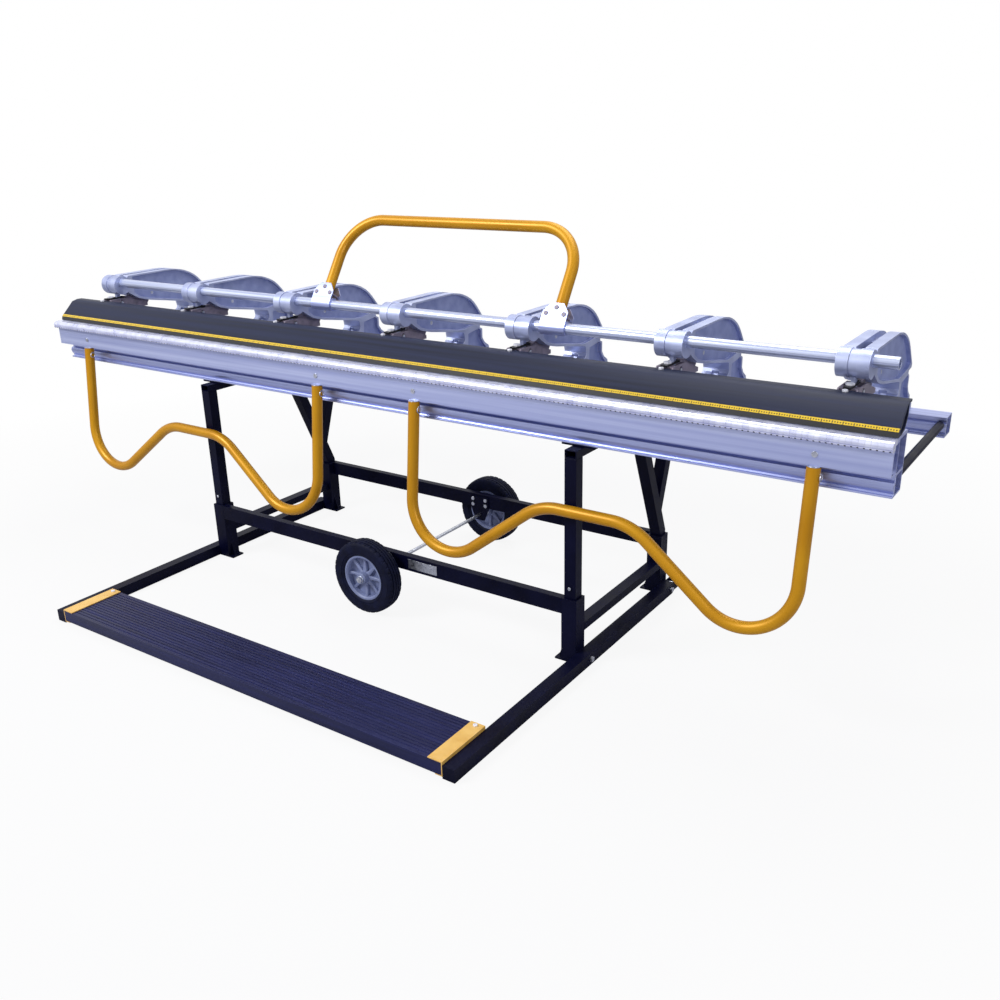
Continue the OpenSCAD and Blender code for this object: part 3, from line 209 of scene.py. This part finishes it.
# Solid rubber: near black with a blue cast, rough and dull.
tyre_rubber = surface("solid_tyre_rubber", ("#080b1e", "#12162f"), (0.5, 0.7), (24, 24, 24),
                      (2.5, 2.5, 2.5), 0.12, Specular_IOR_Level=0.1)


def combined(tree, a, b, how):
    """Two values combined by a named operation."""
    return add(tree, "Math", {0: a, 1: b}, operation=how).outputs[0]


def dashes(tree, pitch_mm, share, low, high):
    """1 on dashes across X that take a share of each pitch, between two heights, and 0 elsewhere."""
    parts = add(tree, "SeparateXYZ", {0: add(tree, "TexCoord").outputs["Object"]}).outputs
    turn = combined(tree, combined(tree, parts["X"], 1 / (pitch_mm * MM), "MULTIPLY"), share / 2, "ADD")
    turn = add(tree, "Math", {0: turn}, operation="FRACT").outputs[0]
    across = combined(tree, turn, share, "LESS_THAN")
    band = combined(tree, combined(tree, parts["Z"], low, "GREATER_THAN"),
                    combined(tree, parts["Z"], high, "LESS_THAN"), "MULTIPLY")
    return combined(tree, across, band, "MULTIPLY")


def scale_tape():
    """Printed polyester tape: yellow, with plain dark ticks and longer ones each inch."""
    material, tree, shader = new_finish("printed_scale_tape", Roughness=0.35, Coat_Weight=0.2)
    ticks = combined(tree, dashes(tree, SHORT_MM, SHORT_SHARE, BED_Z + TICK_LOW, BED_Z + TICK_TOP),
                     dashes(tree, LONG_MM, LONG_SHARE, BED_Z, BED_Z + LONG_TICK_TOP), "MAXIMUM")
    tree.links.new(blended(tree, ticks, "#dcb81c", "#15130c"), shader.inputs["Base Color"])
    return material


def knuckles_with_painted_notch_shadow():
    """The machined knuckles with a painted shadow of the cutter's run-out at each joint, low on the
    barrel.
    """
    material = knuckle_bright.copy()
    material.name = "knuckles_with_painted_notch_shadow"
    tree = material.node_tree
    colour = tree.nodes["Principled BSDF"].inputs["Base Color"]
    plain = colour.links[0].from_socket
    notch_shadow = dashes(tree, KNUCKLE_MM, NOTCH_SHADOW_SHARE, NOTCH_SHADOW_LOW, NOTCH_SHADOW_TOP)
    # The dark colour is painted shadow laid over the knuckles' own colour
    tree.links.new(blended(tree, notch_shadow, plain, "#20233a"), colour)
    return material


tape_print = scale_tape()
knuckle_painted_notch_shadow = knuckles_with_painted_notch_shadow()

FINISH_OF_SLOT = {
    "stand_paint": stand_coat, "dark_steel": stand_coat, "zinc_steel": zinc_plate,
    "white_bolts": pale_plate, "deck_paint": deck_coat, "clip_paint": clip_enamel,
    "tyre": tyre_rubber, "hub": hub_nylon, "rail_alu": rail_satin, "hinge_alu": knuckle_bright,
    "cast_alu": cast_face, "jaw_anodised": jaw_dark, "nose_black": nose_plastic, "tape": tape_print,
    "lever_paint": lever_coat, "black_link": black_bar, "tube_silver": tube_bright,
    "cam_steel": zinc_plate, "strap_alu": cast_face, "grip_paint": golden_enamel,
    "leaf_alu": leaf_satin_painted_light, "tie_black": stand_coat,
}


# Pieces
def show(name, bm, node, finishes, stands_for=()):
    """Makes a piece of a bmesh with the given finishes. It rides with the body of a CAD node."""
    mesh = bpy.data.meshes.new(name)
    bm.to_mesh(mesh)
    bm.free()
    piece = bpy.data.objects.new(name, mesh)
    bpy.context.scene.collection.objects.link(piece)
    for finish in finishes:
        mesh.materials.append(finish)
    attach(piece, BODY_OF[node])
    if stands_for:
        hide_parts(*stands_for)
    return piece


def smooth(bm, sharp_deg=SHARP_DEG):
    """Smooth faces, with every edge over the angle kept sharp."""
    for face in bm.faces:
        face.smooth = True
    for edge in bm.edges:
        edge.smooth = len(edge.link_faces) == 2 and edge.calc_face_angle(0) < math.radians(sharp_deg)


def rounded(node, edge_mm, finishes=None, sort_faces=None, edge_finish=-1, segments=2):
    """Shows a CAD node with its flat faces whole again and its edges rounded."""
    bm = bmesh.new()
    bm.from_mesh(NODES[node].data)
    bmesh.ops.remove_doubles(bm, verts=bm.verts, dist=WELD)
    bmesh.ops.dissolve_limit(bm, angle_limit=math.radians(FLAT_DEG), verts=bm.verts, edges=bm.edges)
    for face in bm.faces:
        face.material_index = sort_faces(face) if sort_faces else 0
    smooth(bm)
    piece = show(node + "_finished", bm, node, finishes or [FINISH_OF_SLOT[SLOT_OF[node]]], [node])
    if edge_mm:
        bevel = piece.modifiers.new("rounded_edges", "BEVEL")
        bevel.width = edge_mm * MM
        bevel.segments = segments
        bevel.limit_method = "ANGLE"
        bevel.angle_limit = math.radians(BEVEL_DEG)
        bevel.harden_normals = True
        bevel.material = edge_finish
    return piece


EDGE_MM = {
    "front_sleeves": 1.2, "rear_sleeves": 1.2, "side_tubes": 1.2, "cross_tubes": 1.2,
    "platform_rails": 1.2, "rail_clevises": 0.6, "rail_bolts": 0.6, "platform_deck": 0.45,
    "deck_clips": 0.9, "deck_bolts": 0.5, "axle_brackets": 0.7, "axle_bracket_bolts": 0.5,
    "axle_rod": 0.8, "axle_nuts": 0.5, "blank_plate": 0.2, "front_posts": 1.2, "height_buttons": 0.9,
    "rear_legs": 1.2, "side_bars": 1.2, "saddles": 0.9, "front_base_rail": 0.7, "rear_base_rail": 0.7,
    "tie_rods": 2.0, "bed_rail": 0.9, "hinge_rod": 0.6, "casting_bolts": 0.6,
    "pivot_pins": 0.6, "jaw": 0.8, "nose_strip": 0.4, "jaw_tape": 0.0, "jaw_levers": 0.7,
    "adjuster_links": 0.7, "jaw_bolts": 0.5, "locking_tube": 0.8, "cams": 0.6, "handle_brackets": 0.8,
    "bracket_rivets": 0.8, "cam_straps": 0.9, "strap_pins": 0.6, "leaf": 0.6,
    "leaf_sockets": 0.8, "hitch_pins": 0.4, "leaf_screws": 0.6,
}
FINISH_OF_NODE = {"handle_brackets": [rail_satin], "bracket_rivets": [lever_coat]}
for cad_node, edge in EDGE_MM.items():
    rounded(cad_node, edge, FINISH_OF_NODE.get(cad_node))
# Both hinges: painted shadow at each joint, and dirt with painted shade on the gap chamfers
for cad_node in ("bed_hinge", "leaf_hinge"):
    rounded(cad_node, HINGE_EDGE_MM, [knuckle_painted_notch_shadow, knuckle_grime_and_shade], edge_finish=1, segments=1)


def casting_parts(station):
    """Sorts a casting's faces: 1 for the pockets, 0 for the rest."""
    def sort(face):
        off = [abs(v.co.x - station) for v in face.verts]
        sunk = max(off) < CHEEK_OUT - MM or max(off) - min(off) > MM
        return 1 if min(off) > POCKET_FLOOR - MM and sunk else 0
    return sort


# The pockets take painted shade, and the rounded edges a painted highlight
for number, station in enumerate(STATIONS, 1):
    rounded("casting_%d" % number, CASTING_EDGE_MM, [cast_face, cast_pocket_and_shade, cast_rim_wear_and_highlight],
            casting_parts(station), edge_finish=2, segments=3)


# Handles: the same bends as in the part's source, swept with enough sides to look round
def bent_path(steps, x, z, heading):
    """Stops (x, z, heading) along straight runs and bends. A heading of 0 points along +Z."""
    stops = [(x, z, heading)]
    for run, turn, radius in steps:
        x, z = x + run * math.sin(heading), z + run * math.cos(heading)
        if not turn:
            stops.append((x, z, heading))
            continue
        side = math.copysign(radius, turn)
        cx, cz = x + side * math.cos(heading), z - side * math.sin(heading)
        count = math.ceil(abs(turn) / math.radians(BEND_STEP_DEG))
        for k in range(count + 1):
            a = heading + turn * k / count
            stops.append((cx - side * math.cos(a), cz + side * math.sin(a), a))
        x, z, heading = stops[-1]
    return stops


def grip_tube(name, node, stops, place, outer=0.0175, wall=0.0025, sides=48):
    """A hollow tube along the stops."""
    bm = bmesh.new()
    rings = []
    for radius in (outer, outer - wall):
        rings.append([[bm.verts.new(place @ Vector((
            x + radius * math.cos(t) * math.cos(a), radius * math.sin(t),
            z - radius * math.cos(t) * math.sin(a))))
            for t in (2 * math.pi * k / sides for k in range(sides))] for x, z, a in stops])
    out, bore = rings
    for i in range(len(stops) - 1):
        for k in range(sides):
            n = (k + 1) % sides
            bm.faces.new((out[i][k], out[i][n], out[i + 1][n], out[i + 1][k]))
            bm.faces.new((bore[i][k], bore[i + 1][k], bore[i + 1][n], bore[i][n]))
    for i, flip in ((0, 1), (-1, 0)):
        for k in range(sides):
            n = (k + 1) % sides
            quad = (out[i][k], out[i][n], bore[i][n], bore[i][k])
            bm.faces.new(quad[::-1] if flip else quad)
    bmesh.ops.recalc_face_normals(bm, faces=bm.faces)
    smooth(bm, TUBE_SHARP_DEG)
    return show(name, bm, node, [golden_enamel], [node])


HALF_W, CORNER_DROP, CREST_DROP, CREST_HALF = 0.610, 0.597, 0.240, 0.145
CORNER_R, CREST_R = 0.145, 0.180
# Where they hang: each one's middle along X, behind the leaf's face and up, and the lean in degrees
HUNG_X, HUNG_BACK, HUNG_Z, HUNG_LEAN = 0.812, 0.003, 0.7278, -6.2
crest_turn = math.atan2(CORNER_DROP - CREST_DROP, HALF_W - CREST_HALF)
crest_cut = CREST_R * math.tan(crest_turn / 2)
corner_cut = CORNER_R * math.tan(math.pi / 4 + crest_turn / 2)
leg_run = CORNER_DROP - corner_cut
slant = math.hypot(CORNER_DROP - CREST_DROP, HALF_W - CREST_HALF) - corner_cut - crest_cut
corner_turn = math.pi / 2 + crest_turn
W_STEPS = [(leg_run, -corner_turn, CORNER_R), (slant, crest_turn, CREST_R),
           (2 * (CREST_HALF - crest_cut), crest_turn, CREST_R), (slant, -corner_turn, CORNER_R),
           (leg_run, 0, 0)]
hung = (Matrix.Translation((0, FACE_Y + HUNG_BACK, HUNG_Z))
        @ Matrix.Rotation(math.radians(HUNG_LEAN), 4, "X"))
for side, node in ((1, "bending_handle_right"), (-1, "bending_handle_left")):
    w_stops = bent_path(W_STEPS, side * HUNG_X - HALF_W, 0, math.pi)
    grip_tube(node + "_tube", node, w_stops, hung)

LOCK_FOOT, LOCK_REACH, LOCK_R = 0.020, 0.313, 0.140
LOCK_LEFT, LOCK_RIGHT = -0.316, 0.592
# The locking tube's middle behind the leaf's face and up, and the lean in degrees
LOCK_BACK, LOCK_Z, LOCK_LEAN = 0.183, 0.956, -33
rise = LOCK_REACH - LOCK_FOOT - LOCK_R
U_STEPS = [(rise, math.pi / 2, LOCK_R), (LOCK_RIGHT - LOCK_LEFT - 2 * LOCK_R, math.pi / 2, LOCK_R),
           (rise, 0, 0)]
leaned = (Matrix.Translation((0, FACE_Y + LOCK_BACK, LOCK_Z))
          @ Matrix.Rotation(math.radians(LOCK_LEAN), 4, "X"))
grip_tube("locking_handle_tube", "locking_handle", bent_path(U_STEPS, LOCK_LEFT, LOCK_FOOT, 0), leaned)


# Wheels: a turned tyre with moulded tread blocks, and a hub with rounded spokes
WHEEL_X, WHEEL_Z = 0.020, 0.1275
FRONT_WHEEL, REAR_WHEEL = -0.062, 0.655
RIM_R = 0.078
HUB_HALF = 0.035
TYRE_STEPS, HUB_STEPS, SPOKES = 180, 96, 8
# The shoulder slots: each this many steps, their depth, and the points of the profile that sink
SLOT_EVERY, SLOT_DEPTH, SLOT_POINTS = 5, 0.0026, (12, 13, 14)


def turned_ring(bm, profile, centre, steps, depth=None):
    """Turns a closed profile of (radius, y) round the axle. depth(index, step) sinks a point."""
    rings = []
    for s in range(steps):
        a = 2 * math.pi * s / steps
        rings.append([bm.verts.new((
            centre[0] + (r - (depth(i, s) if depth else 0)) * math.cos(a), centre[1] + y,
            centre[2] + (r - (depth(i, s) if depth else 0)) * math.sin(a)))
            for i, (r, y) in enumerate(profile)])
    for s in range(steps):
        for i in range(len(profile)):
            n = (i + 1) % len(profile)
            ahead = rings[(s + 1) % steps]
            bm.faces.new((rings[s][i], rings[s][n], ahead[n], ahead[i]))


def half_profile():
    """The tyre's section from the rim to the middle of the tread, as (radius, half width)."""
    return [(RIM_R, 0.0245), (RIM_R + 0.003, 0.0275), (RIM_R + 0.008, 0.0292), (RIM_R + 0.0085, 0.0285),
            (RIM_R + 0.012, 0.0285), (RIM_R + 0.0125, 0.0300), (RIM_R + 0.022, 0.0309),
            (RIM_R + 0.031, 0.0305), (RIM_R + 0.0315, 0.0298), (RIM_R + 0.034, 0.0296),
            (RIM_R + 0.0345, 0.0300), (0.1180, 0.0283), (0.1210, 0.0262), (0.1232, 0.0232),
            (0.1240, 0.0190), (0.1212, 0.0184), (0.1212, 0.0160), (0.1246, 0.0154),
            (0.1252, 0.0070), (0.1220, 0.0064), (0.1220, 0.0038), (0.1254, 0.0032)]


def make_tyre(name, node, y):
    """Moulded tyre with three grooves round it and slots across its shoulders."""
    side = half_profile()
    profile = [(r, -w) for r, w in side] + [(r, w) for r, w in reversed(side)]
    last = len(profile) - 1

    def slots(i, s):
        return SLOT_DEPTH if min(i, last - i) in SLOT_POINTS and s % SLOT_EVERY == 0 else 0

    bm = bmesh.new()
    turned_ring(bm, profile, (WHEEL_X, y, WHEEL_Z), TYRE_STEPS, slots)
    bmesh.ops.recalc_face_normals(bm, faces=bm.faces)
    smooth(bm, TYRE_SHARP_DEG)
    return show(name, bm, node, [tyre_rubber], [node])


def make_hub(name, node, y):
    """Moulded hub: rim, web, eight tapered spokes on each side and a boss with a collar."""
    bm = bmesh.new()
    centre = (WHEEL_X, y, WHEEL_Z)
    rim = [(RIM_R - 0.010, -0.021), (RIM_R - 0.006, -0.0255), (RIM_R - 0.0008, -0.0255),
           (RIM_R - 0.0003, -0.0235), (RIM_R - 0.0003, 0.0235), (RIM_R - 0.0008, 0.0255),
           (RIM_R - 0.006, 0.0255), (RIM_R - 0.010, 0.021), (RIM_R - 0.010, 0.004),
           (0.0200, 0.003), (0.0200, 0.020), (0.0190, 0.0335), (0.0175, HUB_HALF),
           (0.0062, HUB_HALF), (0.0062, -HUB_HALF), (0.0175, -HUB_HALF), (0.0190, -0.0335),
           (0.0200, -0.020), (0.0200, -0.003), (RIM_R - 0.010, -0.004)]
    turned_ring(bm, rim, centre, HUB_STEPS)
    for k in range(SPOKES):
        turn = Matrix.Translation(centre) @ Matrix.Rotation(2 * math.pi * k / SPOKES, 4, "Y")
        for face in (-1, 1):
            # Each spoke is a bar that narrows outwards, with a crowned back
            rows = []
            for r, half, crown in ((0.0185, 0.0085, 0.0170), (0.030, 0.0065, 0.0140),
                                   (0.050, 0.0052, 0.0125), (0.069, 0.0060, 0.0150)):
                rows.append([bm.verts.new(turn @ Vector((r, face * d, w))) for d, w in (
                    (0.0030, -half), (crown - 0.002, -half), (crown, -half * 0.6), (crown, half * 0.6),
                    (crown - 0.002, half), (0.0030, half))])
            for a, b in zip(rows, rows[1:]):
                for i in range(6):
                    n = (i + 1) % 6
                    bm.faces.new((a[i], a[n], b[n], b[i]))
            bm.faces.new(rows[0])
            bm.faces.new(rows[-1])
    bmesh.ops.recalc_face_normals(bm, faces=bm.faces)
    smooth(bm, HUB_SHARP_DEG)
    return show(name, bm, node, [hub_nylon], [node])


for wheel, y in (("front", FACE_Y + FRONT_WHEEL), ("rear", FACE_Y + REAR_WHEEL)):
    make_tyre(wheel + "_tyre_moulded", wheel + "_tyre", y)
    make_hub(wheel + "_hub_moulded", wheel + "_hub", y)


# Studio and camera
# Each lamp's name, place, size in metres and power in watts
LAMPS = (("key", (-2.6, -3.6, 4.2), 1.8, 265), ("fill", (4.4, -2.2, 2.8), 2.0, 70),
         ("top", (0.3, 1.6, 4.6), 3.0, 120))
LAMPS_AIM = (0, 0.1, 0.6)
WORLD_STRENGTH = 0.26
# The floor's half width, and the distances between which its share of plain white grows to 1
FLOOR_HALF = 40
NEAR, FAR, NEAR_SHARE = 1.6, 3.4, 0.90
# Solved from the photograph: angles in degrees, place in metres, sensor and lens in millimetres
YAW, PITCH, ROLL = 34.6, -20.6, -1.3
CAMERA_PLACE = (2.0750, -2.28185, 1.5022)
SENSOR_MM, LENS_MM = 36, 35.73


def make_studio():
    """Pale floor, an even white world and three soft lamps."""
    material, tree, shader = new_finish("pale_floor", Roughness=0.9, Specular_IOR_Level=0.0)
    shader.inputs["Base Color"].default_value = linear("#c6c6cb")
    path = add(tree, "LightPath").outputs["Is Camera Ray"]
    # The share of plain white grows away from the brake, so that no horizon shows
    place = add(tree, "TexCoord").outputs["Object"]
    far = add(tree, "VectorMath", {0: place}, operation="LENGTH").outputs["Value"]
    white_share = add(tree, "MapRange", {"Value": far, "From Min": NEAR, "From Max": FAR,
                                         "To Min": NEAR_SHARE, "To Max": 1.0}).outputs["Result"]
    share = combined(tree, path, white_share, "MULTIPLY")
    white = add(tree, "Emission", {"Color": linear("#ffffff"), "Strength": 1.0}).outputs[0]
    mixed = add(tree, "MixShader", {0: share, 1: shader.outputs[0], 2: white})
    tree.links.new(mixed.outputs[0], tree.nodes["Material Output"].inputs["Surface"])
    bm = bmesh.new()
    bmesh.ops.create_grid(bm, x_segments=1, y_segments=1, size=FLOOR_HALF)
    mesh = bpy.data.meshes.new("floor")
    bm.to_mesh(mesh)
    bm.free()
    floor = bpy.data.objects.new("floor", mesh)
    bpy.context.scene.collection.objects.link(floor)
    mesh.materials.append(material)

    world = bpy.data.worlds.new("studio")
    bpy.context.scene.world = world
    world.use_nodes = True
    tree = world.node_tree
    ray = add(tree, "LightPath")
    seen = combined(tree, ray.outputs["Is Camera Ray"], ray.outputs["Is Glossy Ray"], "MAXIMUM")
    seen = combined(tree, seen, ray.outputs["Is Transmission Ray"], "MAXIMUM")
    dim = tree.nodes["Background"]
    dim.inputs["Color"].default_value = linear("#eceefa")
    dim.inputs["Strength"].default_value = WORLD_STRENGTH
    bright = add(tree, "Background", {"Color": linear("#ffffff"), "Strength": 1.0})
    both = add(tree, "MixShader", {0: seen, 1: dim.outputs[0], 2: bright.outputs[0]})
    tree.links.new(both.outputs[0], tree.nodes["World Output"].inputs["Surface"])

    for name, place, size, power in LAMPS:
        lamp = bpy.data.lights.new(name, "AREA")
        lamp.size = size
        lamp.energy = power
        holder = bpy.data.objects.new(name, lamp)
        bpy.context.scene.collection.objects.link(holder)
        holder.location = place
        holder.rotation_euler = (Vector(LAMPS_AIM) - Vector(place)).to_track_quat("-Z", "Y").to_euler()


def make_camera():
    """The camera that took the photograph."""
    yaw, pitch, roll = (math.radians(v) for v in (YAW, PITCH, ROLL))
    ahead = Vector((-math.sin(yaw) * math.cos(pitch), math.cos(yaw) * math.cos(pitch), math.sin(pitch)))
    right = ahead.cross(Vector((0, 0, 1))).normalized()
    up = right.cross(ahead)
    right_rolled = right * math.cos(roll) + up * math.sin(roll)
    up_rolled = up * math.cos(roll) - right * math.sin(roll)
    turn = Matrix((right_rolled, up_rolled, -ahead)).transposed().to_4x4()
    camera = bpy.data.objects.new("camera", bpy.data.cameras.new("camera"))
    bpy.context.scene.collection.objects.link(camera)
    camera.matrix_world = Matrix.Translation(CAMERA_PLACE) @ turn
    camera.data.sensor_width = SENSOR_MM
    camera.data.lens = LENS_MM
    bpy.context.scene.camera = camera


make_studio()
make_camera()
bpy.context.scene.view_settings.view_transform = "Standard"

bpy.context.view_layer.update()
